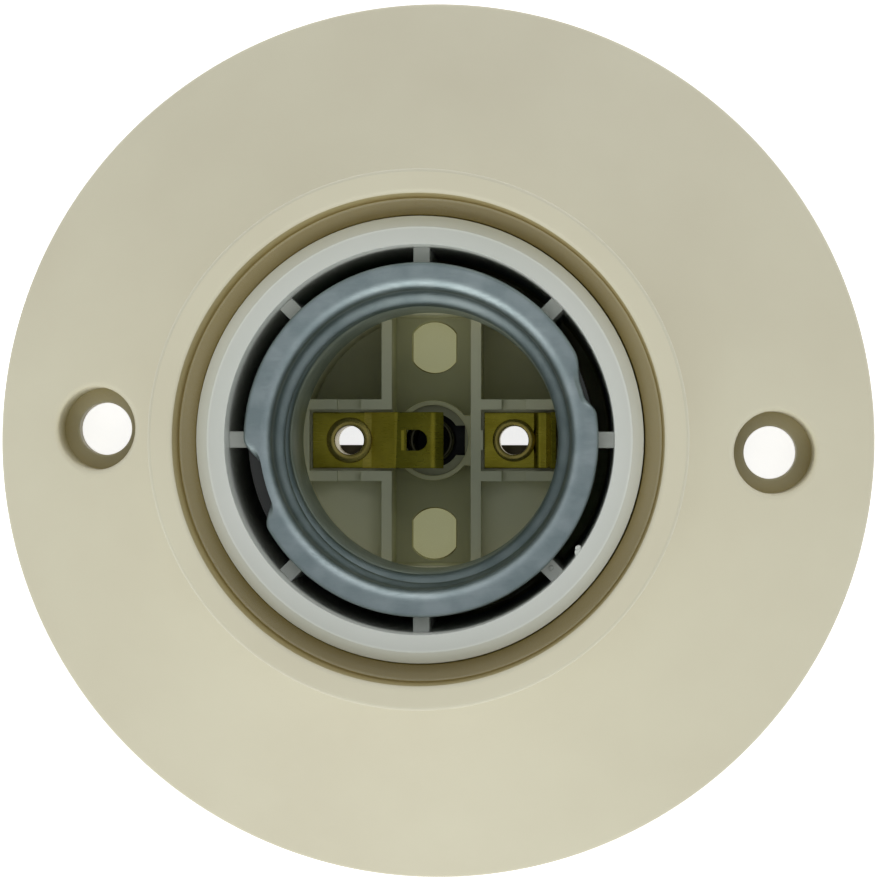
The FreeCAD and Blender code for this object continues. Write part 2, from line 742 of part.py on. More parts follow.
def make_shell_contact():
    """Brass strip: riveted plate, folded up in two steps to the screw shell's foot."""
    body = new_body("shell_contact")
    profile = new_sketch(body, "RiserProfile", "XZ_Plane")
    tip = "((pit_radius ^ 2 - (contact_width / 2) ^ 2) ^ 0.5 - shell_tip_gap)"
    line = [
        ("shell_plate_start", "contact_seat"),
        ("shell_fold", "contact_seat"),
        ("shell_fold + shell_step_run", "contact_seat + shell_step_rise"),
        (f"{tip} - contact_sheet", "contact_seat + shell_step_rise"),
        (tip, "shell_foot - shell_tip_gap"),
    ]
    top = [
        (f"{tip} - contact_sheet", "shell_foot - shell_tip_gap"),
        (f"{tip} - contact_sheet * 2", "contact_top + shell_step_rise"),
        ("shell_fold + shell_step_run", "contact_top + shell_step_rise"),
        ("shell_fold", "contact_top"),
        ("shell_plate_start", "contact_top"),
    ]
    add_polygon(profile, line + top)
    pad_both_ways(body, profile, "Strip", "contact_width")
    hole = new_sketch(body, "RivetHoleSketch", "XY_Plane", "contact_top")
    add_circle(hole, "rivet_offset", "0", "rivet_radius + rivet_clearance")
    pocket(body, hole, "RivetHole", "contact_sheet")
    return body


def make_rivet(label, place, head_radius):
    """Hollow rivet: preformed head on the contact, rolled rim on the terminal."""
    body = new_body(label)
    head = new_sketch(body, "HeadSketch", "XY_Plane", "contact_top")
    add_circle(head, place, "0", head_radius)
    pad(body, head, "Head", "rivet_head")
    shank = new_sketch(body, "ShankSketch", "XY_Plane", "contact_top")
    add_circle(shank, place, "0", "rivet_radius")
    pad(body, shank, "Shank", "contact_top - terminal_face + rivet_head", reverse=True)
    rim = new_sketch(body, "RimSketch", "XY_Plane", "terminal_face")
    add_circle(rim, place, "0", "rivet_rolled_radius")
    pad(body, rim, "Rim", "rivet_head", reverse=True)
    bore = new_sketch(body, "BoreSketch", "XY_Plane", "contact_top + rivet_head")
    add_circle(bore, place, "0", "rivet_bore")
    pocket(body, bore, "Bore", "contact_top - terminal_face + rivet_head * 2")
    return body


def make_contact_spring():
    """Close-wound spring under the tongue, as the sleeve that its turns fill."""
    body = new_body("contact_spring")
    ring = new_sketch(body, "SpringSketch", "XY_Plane", "spring_well_floor")
    add_circle(ring, "0", "0", "spring_radius")
    add_circle(ring, "0", "0", "spring_radius - spring_wire")
    knee_slope = "(tongue_crest_rise - tongue_knee_rise) / (tongue_crest + tongue_knee)"
    under_tongue = f"tongue_knee_rise + (tongue_knee - spring_radius) * {knee_slope}"
    pad(body, ring, "Turns", f"contact_seat + {under_tongue} - spring_well_floor")
    return body


def make_terminal(label, place):
    """Brass terminal plate behind a rivet, with the hole for its screw."""
    body = new_body(label)
    plate = new_sketch(body, "PlateSketch", "XY_Plane", "terminal_face")
    add_rectangle(
        plate,
        f"{place} - terminal_width / 2",
        f"{place} + terminal_width / 2",
        "-screw_from_rivet - terminal_past_screw",
        "terminal_past_rivet",
    )
    add_circle(plate, place, "0", "rivet_radius + rivet_clearance")
    add_circle(plate, place, "-screw_from_rivet", "screw_radius + screw_running_gap")
    pad(body, plate, "Plate", "terminal_sheet")
    return body


def make_clamp_washer(label, place):
    """Square washer that presses the wire against the terminal plate."""
    body = new_body(label)
    plate = new_sketch(body, "WasherSketch", "XY_Plane", "washer_face")
    add_rectangle(
        plate,
        f"{place} - washer_width / 2",
        f"{place} + washer_width / 2",
        "-screw_from_rivet - washer_length / 2",
        "-screw_from_rivet + washer_length / 2",
    )
    add_circle(plate, place, "-screw_from_rivet", "screw_radius + screw_running_gap")
    pad(body, plate, "Plate", "washer_sheet", reverse=True)
    return body


def make_terminal_screw(label, place):
    """Terminal screw with a slotted head, driven from the ceiling side."""
    body = new_body(label)
    head = new_sketch(body, "HeadSketch", "XY_Plane", "head_face")
    add_circle(head, place, "-screw_from_rivet", "screw_head_radius")
    pad(body, head, "Head", "screw_head_height", reverse=True)
    shank = new_sketch(body, "ShankSketch", "XY_Plane", "head_face")
    add_circle(shank, place, "-screw_from_rivet", "screw_radius")
    pad(body, shank, "Shank", "chamber_roof + screw_past_plate - head_face")
    slot = new_sketch(body, "SlotSketch", "XY_Plane", "head_face - screw_head_height")
    add_rectangle(
        slot,
        f"{place} - screw_head_radius * 2",
        f"{place} + screw_head_radius * 2",
        "-screw_from_rivet - screw_slot_width / 2",
        "-screw_from_rivet + screw_slot_width / 2",
    )
    pocket(body, slot, "Slot", "screw_slot_depth", upwards=True)
    return body


def make_parts():
    """All sub-parts of the lamp holder."""
    parts = [
        make_base_cover(),
        make_socket_body(),
        make_screw_shell(),
        make_centre_contact(),
        make_shell_contact(),
        make_contact_spring(),
        make_rivet("centre_rivet", "-rivet_offset", "centre_rivet_head_radius"),
        make_rivet("shell_rivet", "rivet_offset", "shell_rivet_head_radius"),
    ]
    for side, place in (("centre", "-rivet_offset"), ("shell", "rivet_offset")):
        parts.append(make_terminal(f"{side}_terminal", place))
        parts.append(make_terminal_screw(f"{side}_terminal_screw", place))
        parts.append(make_clamp_washer(f"{side}_clamp_washer", place))
    return parts


def check_parts(parts):
    """Stop if any object failed or any sub-part is not a sound solid."""
    failed = [
        o.Label for o in document.Objects if "Invalid" in o.State or "Error" in o.State
    ]
    if failed:
        raise RuntimeError(f"failed objects: {failed}")
    for part in parts:
        shape = part.Shape
        if shape.isNull() or not shape.isValid() or not shape.Solids:
            raise RuntimeError(f"{part.Label} is not a sound solid")


def write_parts(parts):
    """Write one STEP file for each sub-part."""
    os.makedirs("parts", exist_ok=True)
    for part in parts:
        part.Shape.exportStep(f"parts/{part.Label}.step")


fill_sheet()
all_parts = make_parts()
document.recompute()
check_parts(all_parts)
write_parts(all_parts)
for finished in all_parts:
    print(finished.Label, len(finished.Shape.Solids), round(finished.Shape.Volume, 1))
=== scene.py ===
import math

import bmesh
import bpy
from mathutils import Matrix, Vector


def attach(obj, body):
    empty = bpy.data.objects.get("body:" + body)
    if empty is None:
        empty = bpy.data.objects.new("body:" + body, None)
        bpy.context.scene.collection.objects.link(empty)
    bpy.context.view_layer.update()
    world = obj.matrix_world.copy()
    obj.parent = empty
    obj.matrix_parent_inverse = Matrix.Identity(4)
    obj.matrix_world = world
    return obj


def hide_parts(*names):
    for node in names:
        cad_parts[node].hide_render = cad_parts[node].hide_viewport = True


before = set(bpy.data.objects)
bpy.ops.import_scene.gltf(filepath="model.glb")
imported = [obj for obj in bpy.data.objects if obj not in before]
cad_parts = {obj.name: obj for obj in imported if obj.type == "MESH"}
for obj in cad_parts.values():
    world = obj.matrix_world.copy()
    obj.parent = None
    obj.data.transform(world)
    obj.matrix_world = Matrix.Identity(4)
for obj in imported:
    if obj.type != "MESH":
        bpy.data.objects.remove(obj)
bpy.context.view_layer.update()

# All sizes are in millimetres in the CAD frame and become metres in the meshes.
MM = 0.001

# The socket body and all it carries sit slightly turned in the cover
INSERT_TURN = math.radians(2.0)

# Cover
BASE_RADIUS = 44.0
EDGE_TOP_RADIUS = 43.85
EDGE_HEIGHT = 3.4
NECK_RADIUS = 23.6
NECK_FOOT = 15.2
OVERALL_HEIGHT = 50.0
MOUTH_RADIUS = 21.45
MOUTH_FLOOR = 44.5
BORE_RADIUS = 19.9
TUBE_RADIUS = 22.0
RIM_WALL = 2.4
CONE_WALL = 2.6
SEAT_HEIGHT = 6.7
SEAT_FOOT = 4.1
SEAT_WIDTH = 1.05
BRIDGE_WIDTH = 8.6
POST_OFFSET = 9.2
POST_RADIUS = 2.5
POST_WIDTH = 4.2
POST_TOP = 8.35
FIXING_OFFSET = 33.5
FIXING_RADIUS = 2.65
FIXING_CHAMFER = 0.15
RECESS_RADIUS = 4.1
RECESS_FLOOR = 2.3
RECESS_ROUND = 0.6
BOSS_RADIUS = 5.8
RIB_WIDTH = 1.6
RIB_FOOT = 1.6
COVER_RIBS = 4
CONE_SLOPE = (NECK_FOOT - EDGE_HEIGHT) / (EDGE_TOP_RADIUS - NECK_RADIUS)

# Screw shell
THREAD_CREST = 12.2
THREAD_ROOT = 13.35
THREAD_PITCH = 3.629
THREAD_END = 35.4
THREAD_RUNOUT = 1.2
THREAD_CREST_LEVEL = 37.5
TOP_RUNOUT_START = 38.6
TOP_RUNOUT_END = 40.8
SHEET = 0.4
SHELL_FOOT = 19.4
SHELL_TOP = 43.3
LIP_BEND = 1.15
FLANGE_RADIUS = 15.8
FLANGE_RISE = 0.1

# Contacts, rivets and spring
CONTACT_SEAT = 15.9
CONTACT_SHEET = 0.5
CONTACT_TOP = CONTACT_SEAT + CONTACT_SHEET
CONTACT_WIDTH = 5.4
CONTACT_EDGE_ROUND = 0.07
RIVET_OFFSET = 7.95
RIVET_BORE = 1.4
RIVET_WALL = 0.3
RIVET_HOLE = 1.75
RIVET_RIM = 1.95
RIVET_RISE = 0.45
TERMINAL_FACE = 10.2
SPRING_FLOOR = 7.7
SPRING_TOP = 17.35
SPRING_WIRE_RADIUS = 0.2
SPRING_RADIUS = 1.9
SPRING_TURNS = 11
SPRING_CLOSED_TURNS = 1.2

# Terminal screws
SCREW_FROM_RIVET = 3.95
SCREW_RADIUS = 1.7
SCREW_PITCH = 0.6
SCREW_THREAD_DEPTH = 0.22
SCREW_TIP = 12.0
SCREW_TIP_TAPER = 0.5
HEAD_FACE = 7.8
HEAD_RADIUS = 2.9
HEAD_HEIGHT = 2.1
SLOT_WIDTH = 0.9
SLOT_DEPTH = 1.1

# How far joined shapes run into each other, and cutters past what they cut
OVERLAP = 0.5
CUT_PAST = 1.0


def turned(x, y):
    """A place on the insert, in the frame of the whole part."""
    c, s = math.cos(INSERT_TURN), math.sin(INSERT_TURN)
    return x * c - y * s, x * s + y * c


def smooth_step(value, start, end):
    """0 before start, 1 after end, and a smooth rise between them."""
    t = min(max((value - start) / (end - start), 0.0), 1.0)
    return t * t * (3.0 - 2.0 * t)


# Mesh helpers


def new_object(name, bm):
    """Object from a bmesh in millimetres, with its mesh in metres."""
    bmesh.ops.scale(bm, vec=(MM, MM, MM), verts=bm.verts)
    bmesh.ops.recalc_face_normals(bm, faces=bm.faces)
    mesh = bpy.data.meshes.new(name)
    bm.to_mesh(mesh)
    bm.free()
    obj = bpy.data.objects.new(name, mesh)
    bpy.context.scene.collection.objects.link(obj)
    return obj


def rounded(corners, steps):
    """Outline through (x, y, radius) corners, with an arc of that radius at each."""
    points = []
    count = len(corners)
    for i, (x, y, radius) in enumerate(corners):
        here = Vector((x, y))
        if radius == 0.0:
            points.append((x, y))
            continue
        back = (Vector(corners[i - 1][:2]) - here).normalized()
        ahead = (Vector(corners[(i + 1) % count][:2]) - here).normalized()
        half = back.angle(ahead) / 2.0
        middle = here + (back + ahead).normalized() * (radius / math.sin(half))
        start = here + back * (radius / math.tan(half)) - middle
        sweep = start.angle_signed(here + ahead * (radius / math.tan(half)) - middle)
        for k in range(steps + 1):
            angle = -sweep * k / steps
            c, s = math.cos(angle), math.sin(angle)
            points.append(
                (middle.x + start.x * c - start.y * s, middle.y + start.x * s + start.y * c)
            )
    return points


def divided(points, first, last, pieces):
    """The outline with the run between two of its points cut into equal pieces."""
    a, b = Vector(points[first]), Vector(points[last])
    between = [tuple(a.lerp(b, k / pieces)) for k in range(1, pieces)]
    return points[: first + 1] + between + points[first + 1:]


def circle(x, y, radius, steps=48):
    """Points of a circle."""
    angles = (2.0 * math.pi * k / steps for k in range(steps))
    return [(x + radius * math.cos(a), y + radius * math.sin(a)) for a in angles]


def oblong(left, right, near, far):
    """Corners of an oblong that lies square to the insert."""
    return [turned(x, y) for x, y in ((left, near), (right, near), (right, far), (left, far))]


def turn_profile(bm, steps, profile, centre=(0.0, 0.0)):
    """Rows of vertices round an upright line, from the (radius, height) points of each angle."""
    rows = []
    for i in range(steps):
        angle = 2.0 * math.pi * i / steps
        c, s = math.cos(angle), math.sin(angle)
        points = profile(angle)
        rows.append([bm.verts.new((centre[0] + r * c, centre[1] + r * s, z)) for r, z in points])
    return rows


def join_rings(bm, rings):
    """Quads between neighbouring closed rings of vertices, the last joined to the first."""
    count = len(rings[0])
    for i, ring in enumerate(rings):
        following = rings[(i + 1) % len(rings)]
        for k in range(count):
            after = (k + 1) % count
            bm.faces.new((ring[k], following[k], following[after], ring[after]))


def join_rows(bm, rows):
    """Quads between open rows of vertices that stand round a line, with a cap at each end."""
    for i, row in enumerate(rows):
        following = rows[(i + 1) % len(rows)]
        for k in range(len(row) - 1):
            bm.faces.new((row[k], following[k], following[k + 1], row[k + 1]))
    bm.faces.new([row[0] for row in rows])
    bm.faces.new([row[-1] for row in rows])


def join_path(bm, rings):
    """Quads along a path of closed rings of vertices, with a cap at each end."""
    count = len(rings[0])
    for first, second in zip(rings, rings[1:]):
        for k in range(count):
            after = (k + 1) % count
            bm.faces.new((first[k], second[k], second[after], first[after]))
    bm.faces.new(rings[0])
    bm.faces.new(rings[-1])


def revolve(outline, steps, centre=(0.0, 0.0)):
    """Closed outline of (radius, height) turned about an upright line."""
    bm = bmesh.new()
    join_rings(bm, turn_profile(bm, steps, lambda angle: outline, centre))
    return bm


def prism(outline, low, high):
    """Upright solid over an outline, between two heights."""
    bm = bmesh.new()
    join_path(bm, [[bm.verts.new((x, y, z)) for x, y in outline] for z in (low, high)])
    return bm


def combine(obj, tool_name, bm, operation):
    """Boolean of an object with a tool shape, which is removed."""
    tool = new_object(tool_name, bm)
    modifier = obj.modifiers.new("Boolean", "BOOLEAN")
    modifier.operation = operation
    modifier.solver = "EXACT"
    modifier.object = tool
    graph = bpy.context.evaluated_depsgraph_get()
    result = bpy.data.meshes.new_from_object(obj.evaluated_get(graph))
    obj.modifiers.clear()
    old = obj.data
    obj.data = result
    result.name = obj.name
    bpy.data.meshes.remove(old)
    bpy.data.objects.remove(tool)


def drill(obj, outline, low=CONTACT_SEAT - CUT_PAST, high=CONTACT_TOP + 5.0 * CUT_PAST):
    """Cut an upright hole through a piece of the insert, at the contacts if not told otherwise."""
    combine(obj, "drill", prism(outline, low, high), "DIFFERENCE")


def shade(obj, angle=32.0):
    """Smooth shading with edges over an angle kept sharp."""
    mesh = obj.data
    mesh.shade_smooth()
    mesh.set_sharp_from_angle(angle=math.radians(angle))


def place(obj, body, slot_name, material, *nodes):
    """Give a new piece its body and material, and hide the CAD nodes it stands for; the slot name
    is not used.
    """
    obj.data.materials.clear()
    obj.data.materials.append(material)
    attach(obj, body)
    if nodes:
        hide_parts(*nodes)


# Materials

# Scales of the noises, in cycles a metre
CLOUD_SCALE = 60.0
STAIN_SCALE = 350.0
GLOSS_SCALE = 900.0
SKIN_SCALE = 2500.0

# How deep the mouldings' skin and the metal's drawn streaks are
SKIN_DEPTH = 0.02
STREAK_DEPTH = 0.01

# How far off a wall may stand and still make a hollow that gets painted shade
HOLLOW_REACH = 5.0

# Levels and radii between which the socket body's painted light and shade change
REAR_LEVEL = SEAT_HEIGHT + 0.4
PIT_LEVEL = SEAT_HEIGHT + 0.8
DEEP_LEVEL = 8.7
KEYHOLE_TOP = 12.7
SHALLOW_LEVEL = 15.0
OUTSIDE_LEVEL = SHELL_FOOT + 0.5
SHOULDER_START = 18.55
SHOULDER_END = 18.85

# Painted shade in the socket body: the spring's well, and the sleeve's top under the flange
WELL_BOTTOM = 7.0
WELL_TOP = 11.7
WELL_RADIUS = 3.6
SLEEVE_LEVEL = 41.0
SLEEVE_RADIUS = 15.5
PAINTED_SHADE_GREY = 0.03

# Radius within which the posts of the cover stand
POSTS_WITHIN = 13.0

# Where the tongue bends and slopes up, along X
SLOPE_START = -6.6
SLOPE_END = -3.3

# Tints by which a base colour is multiplied; all but NO_TINT are painted light or shade
NO_TINT = (1.0, 1.0, 1.0, 1.0)
HOLLOW_SHADE_TINT = (0.63, 0.52, 0.2, 1.0)
DEEP_PIT_LIGHT = (1.08, 1.03, 0.7, 1.0)
SHALLOW_PIT_LIGHT = (1.25, 1.18, 0.9, 1.0)
KEYHOLE_PAINTED_LIGHT = (1.45, 1.42, 1.35, 1.0)
SHOULDER_PAINTED_LIGHT = 1.35
MOUTH_PAINTED_SHADE = (0.62, 0.55, 0.36, 1.0)
LIP_PAINTED_SHADE = (0.93, 0.94, 0.95, 1.0)
SHELL_PIT_LIGHT = (1.0, 0.97, 0.8, 1.0)
SLOPE_PAINTED_SHEEN = (1.9, 1.8, 1.4, 1.0)


def srgb(red, green, blue):
    """Linear colour of an sRGB colour given as 0 to 255."""

    def linear(value):
        v = value / 255.0
        return v / 12.92 if v <= 0.04045 else ((v + 0.055) / 1.055) ** 2.4

    return (linear(red), linear(green), linear(blue), 1.0)


def set_ramp(ramp, stops):
    """Set the stops of a colour ramp node, as (place, colour)."""
    elements = ramp.color_ramp.elements
    for place_at, _ in stops[2:]:
        elements.new(place_at)
    for element, (place_at, colour) in zip(elements, stops):
        element.position = place_at
        element.color = colour


class Shader:
    """A material's nodes, with the object's own coordinates in metres."""

    def __init__(self, name):
        self.material = bpy.data.materials.new(name)
        self.material.use_nodes = True
        self.tree = self.material.node_tree
        self.principled = self.tree.nodes["Principled BSDF"]
        self.coordinates = self.tree.nodes.new("ShaderNodeTexCoord").outputs["Object"]

    def node(self, kind, **values):
        """New node with its properties and unlinked inputs set."""
        node = self.tree.nodes.new(kind)
        for key, value in values.items():
            if key in node.inputs:
                node.inputs[key].default_value = value
            else:
                setattr(node, key, value)
        return node

    def link(self, output, socket):
        self.tree.links.new(output, socket)

    def feed(self, output, name):
        """Link a value to one of the Principled shader's sockets."""
        self.link(output, self.principled.inputs[name])

    def set(self, **values):
        """Constants on the Principled shader, with spaces written as underscores."""
        for key, value in values.items():
            self.principled.inputs[key.replace("_", " ")].default_value = value

    def noise(self, scale, detail=3.0, stretch=None):
        """Noise value, with the coordinates stretched if asked."""
        texture = self.node("ShaderNodeTexNoise", Scale=scale, Detail=detail)
        source = self.coordinates
        if stretch:
            mapping = self.node("ShaderNodeMapping")
            mapping.inputs["Scale"].default_value = stretch
            self.link(source, mapping.inputs["Vector"])
            source = mapping.outputs["Vector"]
        self.link(source, texture.inputs["Vector"])
        return texture.outputs["Fac"]

    def ramp(self, factor, stops):
        """Colour ramp over a factor, from (place, colour) stops."""
        ramp = self.node("ShaderNodeValToRGB")
        set_ramp(ramp, stops)
        self.link(factor, ramp.inputs["Fac"])
        return ramp.outputs["Color"]

    def grey_ramp(self, factor, low, high, start=0.3, end=0.7):
        """Values from low to high as a factor goes from start to end."""
        stops = [(start, (low, low, low, 1.0)), (end, (high, high, high, 1.0))]
        return self.ramp(factor, stops)

    def along(self, axis):
        """Place along one of the frame's axes."""
        split = self.node("ShaderNodeSeparateXYZ")
        self.link(self.coordinates, split.inputs[0])
        return split.outputs[axis]

    def axis_distance(self):
        """Distance from the lamp axis."""
        flat = self.node("ShaderNodeVectorMath", operation="MULTIPLY")
        flat.inputs[1].default_value = (1.0, 1.0, 0.0)
        self.link(self.coordinates, flat.inputs[0])
        radius = self.node("ShaderNodeVectorMath", operation="LENGTH")
        self.link(flat.outputs["Vector"], radius.inputs[0])
        return radius.outputs["Value"]

    def scaled(self, operation, value, number):
        """A value compared with a number, or multiplied by it."""
        result = self.node("ShaderNodeMath", operation=operation)
        result.inputs[1].default_value = number
        self.link(value, result.inputs[0])
        return result.outputs[0]

    def joined(self, operation, first, second):
        """Two values put together by a sum of the asked kind."""
        result = self.node("ShaderNodeMath", operation=operation)
        self.link(first, result.inputs[0])
        self.link(second, result.inputs[1])
        return result.outputs[0]

    def above(self, value, low):
        """1 where a value is over a length in millimetres, else 0."""
        return self.scaled("GREATER_THAN", value, low * MM)

    def below(self, value, high):
        """1 where a value is under a length in millimetres, else 0."""
        return self.scaled("LESS_THAN", value, high * MM)

    def both(self, first, second):
        """1 where two such masks are 1, else 0."""
        return self.joined("MULTIPLY", first, second)

    def within(self, value, low, high):
        """1 where a value lies between two lengths in millimetres, else 0."""
        return self.both(self.above(value, low), self.below(value, high))

    def multiplied(self, first, second):
        """Product of two colours."""
        mix = self.node("ShaderNodeMix", data_type="RGBA", blend_type="MULTIPLY")
        mix.inputs["Factor"].default_value = 1.0
        self.link(first, mix.inputs[6])
        self.link(second, mix.inputs[7])
        return mix.outputs[2]

    def tint_where(self, mask, colour):
        """Multiply the base colour by a tint where a mask is 1."""
        base = self.principled.inputs["Base Color"]
        tint = self.ramp(mask, [(0.3, NO_TINT), (0.7, colour)])
        self.link(self.multiplied(base.links[0].from_socket, tint), base)

    def bump(self, height, depth, strength, edge_radius):
        """Bump of a height, of a depth in millimetres, over edges softened by a small round."""
        bump = self.node("ShaderNodeBump", Strength=strength, Distance=depth * MM)
        self.link(height, bump.inputs["Height"])
        if edge_radius:
            bevel = self.node("ShaderNodeBevel", samples=4, Radius=edge_radius * MM)
            self.link(bevel.outputs["Normal"], bump.inputs["Normal"])
        self.feed(bump.outputs["Normal"], "Normal")


def painted_hollow_shade(shader):
    """Painted shade: deeper, warmer ivory in hollows, where light has crossed the moulding more
    than once.
    """
    openness = shader.node("ShaderNodeAmbientOcclusion", samples=4, Distance=HOLLOW_REACH * MM)
    return shader.ramp(openness.outputs["AO"], [(0.2, HOLLOW_SHADE_TINT), (0.6, NO_TINT)])


def insert_painted_light(shader):
    """Painted light and shade: warm light in the pit, a lit pale outer shoulder, and painted shade
    in the spring's well and under the flange.
    """
    height, radius = shader.along("Z"), shader.axis_distance()
    levels = [
        (REAR_LEVEL, NO_TINT),
        (PIT_LEVEL, DEEP_PIT_LIGHT),
        (DEEP_LEVEL, DEEP_PIT_LIGHT),
        (SHALLOW_LEVEL, SHALLOW_PIT_LIGHT),
        (SHELL_FOOT, SHALLOW_PIT_LIGHT),
        (OUTSIDE_LEVEL, NO_TINT),
    ]
    warm_pit_light = shader.ramp(
        shader.scaled("MULTIPLY", height, 1.0 / (OVERALL_HEIGHT * MM)),
        [(level / OVERALL_HEIGHT, tint) for level, tint in levels],
    )
    shoulder = shader.grey_ramp(
        shader.scaled("MULTIPLY", radius, 1.0 / (BORE_RADIUS * MM)),
        1.0,
        SHOULDER_PAINTED_LIGHT,
        SHOULDER_START / BORE_RADIUS,
        SHOULDER_END / BORE_RADIUS,
    )
    well = shader.both(
        shader.within(height, WELL_BOTTOM, WELL_TOP), shader.below(radius, WELL_RADIUS)
    )
    sleeve = shader.both(shader.above(height, SLEEVE_LEVEL), shader.below(radius, SLEEVE_RADIUS))
    painted_shade_places = shader.grey_ramp(shader.joined("ADD", well, sleeve), 1.0, PAINTED_SHADE_GREY)
    return shader.multiplied(shader.multiplied(warm_pit_light, shoulder), painted_shade_places)


def moulding(name, light, dark, tint, roughness, edge_radius=0.0):
    """Moulded plastic: faint clouding, uneven gloss, a fine skin and painted light and shade by
    place.
    """
    shader = Shader(name)
    cloud = shader.noise(CLOUD_SCALE, detail=4.0)
    colour = shader.ramp(cloud, [(0.3, dark), (0.7, light)])
    shader.feed(shader.multiplied(colour, tint(shader)), "Base Color")
    gloss = shader.grey_ramp(shader.noise(GLOSS_SCALE), roughness - 0.05, roughness + 0.06)
    shader.feed(gloss, "Roughness")
    shader.bump(shader.noise(SKIN_SCALE, detail=2.0), SKIN_DEPTH, 0.35, edge_radius)
    return shader


def painted_mouth_shade(shader):
    """Painted shade: the brown wall inside the mouth, as the light crosses it, and a lip darkened
    so that it shows no bright rim.
    """
    height, radius = shader.along("Z"), shader.axis_distance()
    wall = shader.both(
        shader.within(height, MOUTH_FLOOR + 0.1, OVERALL_HEIGHT - 0.3),
        shader.within(radius, MOUTH_RADIUS - 0.2, MOUTH_RADIUS + 0.12),
    )
    shader.tint_where(wall, MOUTH_PAINTED_SHADE)
    lip = shader.both(
        shader.above(height, OVERALL_HEIGHT - 0.4), shader.above(radius, NECK_RADIUS - 0.28)
    )
    shader.tint_where(lip, LIP_PAINTED_SHADE)


def lit_posts(shader, colour, strength):
    """Let the two posts glow, as the light behind the part comes through their ivory."""
    on_post = shader.both(
        shader.below(shader.axis_distance(), POSTS_WITHIN),
        shader.within(shader.along("Z"), SEAT_HEIGHT + 0.2, POST_TOP + 0.1),
    )
    shader.set(Emission_Color=colour)
    shader.feed(shader.grey_ramp(on_post, 0.0, strength), "Emission Strength")


def painted_keyhole_light(shader):
    """Painted light: a paler top face on the ring of the keyhole boss."""
    top_face = shader.within(shader.along("Z"), KEYHOLE_TOP - 0.05, KEYHOLE_TOP + 0.05)
    shader.tint_where(top_face, KEYHOLE_PAINTED_LIGHT)


def metal(name, light, dark, roughness, stretch, edge_radius=0.0):
    """Sheet or turned metal: drawn streaks in the gloss and faint stains."""
    shader = Shader(name)
    stain = shader.noise(STAIN_SCALE, detail=5.0)
    shader.feed(shader.ramp(stain, [(0.35, dark), (0.65, light)]), "Base Color")
    streak = shader.noise(GLOSS_SCALE, detail=4.0, stretch=stretch)
    shader.feed(shader.grey_ramp(streak, roughness - 0.06, roughness + 0.1), "Roughness")
    shader.bump(streak, STREAK_DEPTH, 0.5, edge_radius)
    shader.set(Metallic=1.0)
    return shader


def soft_metal(shader, mask, metallic, tint):
    """Less metal shine and a painted light tint where a mask is 1."""
    shader.feed(shader.grey_ramp(mask, 1.0, metallic), "Metallic")
    shader.tint_where(mask, tint)


def dull_and_pit_lit_below(shader, height):
    """Plating below a height without its metal shine, and with the pit's warmer light painted on.
    """
    soft_metal(shader, shader.below(shader.along("Z"), height), 0.25, SHELL_PIT_LIGHT)


def painted_slope_sheen(shader):
    """Painted sheen on the bend and slope of the tongue, instead of a mirror's dark."""
    slope = shader.both(
        shader.within(shader.along("X"), SLOPE_START, SLOPE_END),
        shader.above(shader.along("Z"), CONTACT_TOP - 0.05),
    )
    soft_metal(shader, slope, 0.15, SLOPE_PAINTED_SHEEN)


def ivory():
    """The cover's ivory, which the light behind the part shines through."""
    shader = moulding("ivory_moulding", srgb(211, 206, 181), srgb(206, 200, 175), painted_hollow_shade, 0.42)
    shader.set(Specular_IOR_Level=0.35)
    painted_mouth_shade(shader)
    lit_posts(shader, srgb(137, 138, 104), 0.7)
    return shader.material


def white():
    """The insert's cooler, greyer white, with painted light and shade by place."""
    shader = moulding(
        "white_moulding", srgb(211, 214, 207), srgb(205, 209, 201), insert_painted_light, 0.42, 0.12
    )
    painted_keyhole_light(shader)
    return shader.material


def shell_steel():
    """Zinc plating of the screw shell, dull and with painted warm pit light where it stands down in
    the pit.
    """
    shader = metal("shell_steel", srgb(162, 174, 176), srgb(142, 156, 158), 0.43, (1.0, 8.0, 8.0))
    dull_and_pit_lit_below(shader, THREAD_END - 0.6)
    return shader.material


def contact_brass():
    """Brass of the contacts and terminals, drawn along the strips, with a painted sheen on the
    tongue's slope.
    """
    shader = metal(
        "contact_brass", srgb(166, 154, 56), srgb(148, 136, 42), 0.3, (1.0, 10.0, 1.0), 0.1
    )
    painted_slope_sheen(shader)
    return shader.material


def plain_metal(name, light, dark, roughness, stretch=(1.0, 1.0, 1.0)):
    """Material of a metal that needs no tint by place."""
    return metal(name, light, dark, roughness, stretch).material


IVORY = ivory()
WHITE = white()
PLATED = plain_metal(
    "plated_steel", srgb(188, 196, 195), srgb(170, 180, 180), 0.3, (1.0, 1.0, 12.0)
)
SHELL_STEEL = shell_steel()
DARK_STEEL = plain_metal("dark_steel", srgb(120, 112, 92), srgb(100, 92, 74), 0.4)
BRASS = contact_brass()
RIVET_BRASS = plain_metal(
    "rivet_brass", srgb(180, 164, 96), srgb(164, 146, 76), 0.28, (1.0, 1.0, 8.0)
)
SPRING_STEEL = plain_metal("spring_steel", srgb(92, 88, 70), srgb(72, 68, 52), 0.4)


# Cover


def cone_height(x, y):
    """Height of the cover's outer cone over a place."""
    return NECK_FOOT - (math.hypot(x, y) - NECK_RADIUS) * CONE_SLOPE


